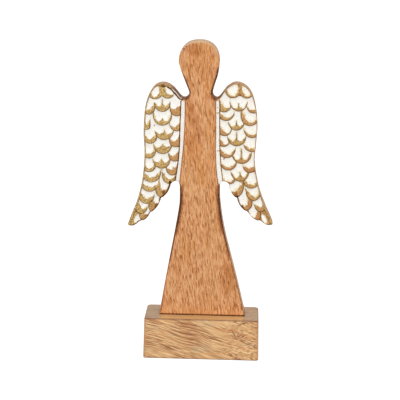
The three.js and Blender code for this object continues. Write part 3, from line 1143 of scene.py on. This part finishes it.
def blockFaces(tree, wood, place, colours):
    # painted sheen and board light on the top, the sawn ends with their rings, and the worn edges
    finish = blockFinish
    facing = apart(addNode(tree, "ShaderNodeTexCoord").outputs["Normal"])
    fromMiddle = maths("ABSOLUTE", place["X"])
    wood = mixColour(band(fromMiddle, *finish["endTone"]), wood, colours["ends"])
    upwards = band(facing["Z"], *finish["facing"])
    # painted sheen: upward faces turn greyer
    topSheenShare = times(upwards, band(place["X"], *finish["topSheenTone"]))
    wood = mixColour(topSheenShare, wood, colours["top"])
    # painted light thrown from the board onto the top before the foot
    paintedBounceBeforeFoot = times(band(fromMiddle, *finish["besideFoot"]), upwards)
    paintedBounceBeforeFoot = times(paintedBounceBeforeFoot, band(place["Y"], *finish["paintedBounceBeforeFoot"]))
    wood = mixColour(paintedBounceBeforeFoot, wood, colours["paintedBounceBeforeFoot"])
    onEnd = band(maths("ABSOLUTE", facing["X"]), *finish["facing"])
    rings = noise(millimetres(tree, (1, 0.25, 1), (24, 0, 0)), 0.5, 3, 0.6, 1.4)
    endGrain = mixColour(band(rings, 0.4, 0.62), colours["straw"], colours["dark"])
    wood = mixColour(times(onEnd, 0.75), wood, endGrain)
    return mixColour(times(attribute(tree, "easedEdge"), 0.7), wood, colours["edge"])


def blockWood():
    material, tree, shader = newMaterial("blockWood")
    colours = linearColours(blockColours)
    place = apart(millimetres(tree))
    wood, lines = blockGrain(tree, place, colours)
    wood = blockFaces(tree, wood, place, colours)
    feed(shader, "Base Color", wood)
    feed(shader, "Roughness", blockFinish["roughness"])
    feed(shader, "Normal", bump(lines, *blockFinish["bump"]))
    return material


def makeBlock():
    bm = bmesh.new()
    bmesh.ops.create_cube(bm, size=1)
    size = (block["width"], block["depth"], block["height"])
    bmesh.ops.scale(bm, verts=bm.verts, vec=size)
    bmesh.ops.translate(bm, verts=bm.verts, vec=(0, 0, block["height"] / 2))

    def cornersOf(upright):
        # the edges that run up the block, or round its top and foot
        sharp = [e for e in bm.edges if len(e.link_faces) == 2 and abs(e.calc_face_angle()) > 1]
        return [e for e in sharp if (abs(e.verts[0].co.z - e.verts[1].co.z) > 1) == upright]

    for radius, front in ((block["frontCorner"], True), (block["backCorner"], False)):
        corners = [e for e in cornersOf(True) if (e.verts[0].co.y < 0) == front]
        ease(bm, corners, radius, block["cornerSegments"])
    layer = bm.faces.layers.float.new("easedEdge")
    eased = ease(bm, cornersOf(False), block["edge"], block["edgeSegments"])
    for face in eased["faces"]:
        face[layer] = 1
    for vert in bm.verts:
        vert.co.x *= 1 + block["flare"] * (1 - vert.co.z / block["height"])
    bmesh.ops.scale(bm, verts=bm.verts, vec=(1 / perMetre,) * 3)
    bmesh.ops.recalc_face_normals(bm, faces=bm.faces)
    piece = objectFrom(bm, "block", blockWood())
    softEdges(piece)
    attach(piece, "root")
    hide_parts("plinth_block")
    print("block shaped")
    return piece


makeBlock()


# The studio, in metres
studio = {
    "floorSize": 60,
    "floor": {
        "Base Color": (0.1, 0.1, 0.1, 1),
        "Roughness": 1,
        "Specular IOR Level": 0,
        "Emission Color": (1, 1, 1, 1),
        "Emission Strength": 1.05,
    },
    "sky": (-0.2, 0.9, (0.38, 0.85)),
    "key": {"place": (-0.35, -1.6, 0.6), "size": 1.4, "power": 15},
    "fill": {"place": (0.9, -1.3, 0.6), "size": 1.0, "power": 4},
    "back": {"place": (0.5, 1.7, 0.35), "size": 1.4, "power": 8},
    "aim": (0, 0, 0.15),
}

cameraAt = {
    "place": (0.0374, -1.3177, 0.4212),
    "yaw": -1.8,
    "pitch": 11.54,
    "roll": 1.0,
    "lens": 126,
    "sensor": 36,
    "clip": (0.05, 20),
}


def makeFloor():
    # a pale floor that glows a little, so that it shows evenly; it doesn't light the object
    bm = bmesh.new()
    bmesh.ops.create_grid(bm, x_segments=1, y_segments=1, size=studio["floorSize"] / 2)
    material, _, shader = newMaterial("paleFloor")
    for name, value in studio["floor"].items():
        feed(shader, name, value)
    floor = objectFrom(bm, "floor", material)
    floor.visible_diffuse = False


def makeLight(name, place, size, power):
    light = bpy.data.lights.new(name, "AREA")
    light.shape = "SQUARE"
    light.size = size
    light.energy = power
    lamp = bpy.data.objects.new(name, light)
    lamp.location = place
    aim = Vector(studio["aim"]) - Vector(place)
    lamp.rotation_euler = aim.to_track_quat("-Z", "Y").to_euler()
    bpy.context.scene.collection.objects.link(lamp)
    return lamp


def makeWorld():
    # soft light from all round, less of it from below
    world = bpy.data.worlds.new("studio")
    world.use_nodes = True
    tree = world.node_tree
    direction = addNode(tree, "ShaderNodeTexCoord").outputs["Generated"]
    strength = band(apart(direction)["Z"], *studio["sky"])
    feed(tree.nodes["Background"], "Color", (1, 1, 1, 1))
    feed(tree.nodes["Background"], "Strength", strength)
    bpy.context.scene.world = world


def makeCamera():
    yaw, pitch, roll = (math.radians(cameraAt[k]) for k in ("yaw", "pitch", "roll"))
    level = math.cos(pitch)
    forward = Vector((math.sin(yaw) * level, math.cos(yaw) * level, -math.sin(pitch)))
    right = Vector((math.cos(yaw), -math.sin(yaw), 0))
    up = right.cross(forward)
    rolledRight = math.cos(roll) * right + math.sin(roll) * up
    rolledUp = -math.sin(roll) * right + math.cos(roll) * up
    data = bpy.data.cameras.new("camera")
    data.lens = cameraAt["lens"]
    data.sensor_width = cameraAt["sensor"]
    data.clip_start, data.clip_end = cameraAt["clip"]
    camera = bpy.data.objects.new("camera", data)
    turn = Matrix((rolledRight, rolledUp, -forward)).transposed()
    camera.matrix_world = Matrix.Translation(cameraAt["place"]) @ turn.to_4x4()
    bpy.context.scene.collection.objects.link(camera)
    bpy.context.scene.camera = camera


makeFloor()
makeLight("key", **studio["key"])
makeLight("fill", **studio["fill"])
makeLight("back", **studio["back"]).visible_glossy = False
makeWorld()
makeCamera()
bpy.context.scene.view_settings.view_transform = "Standard"
print("studio set")
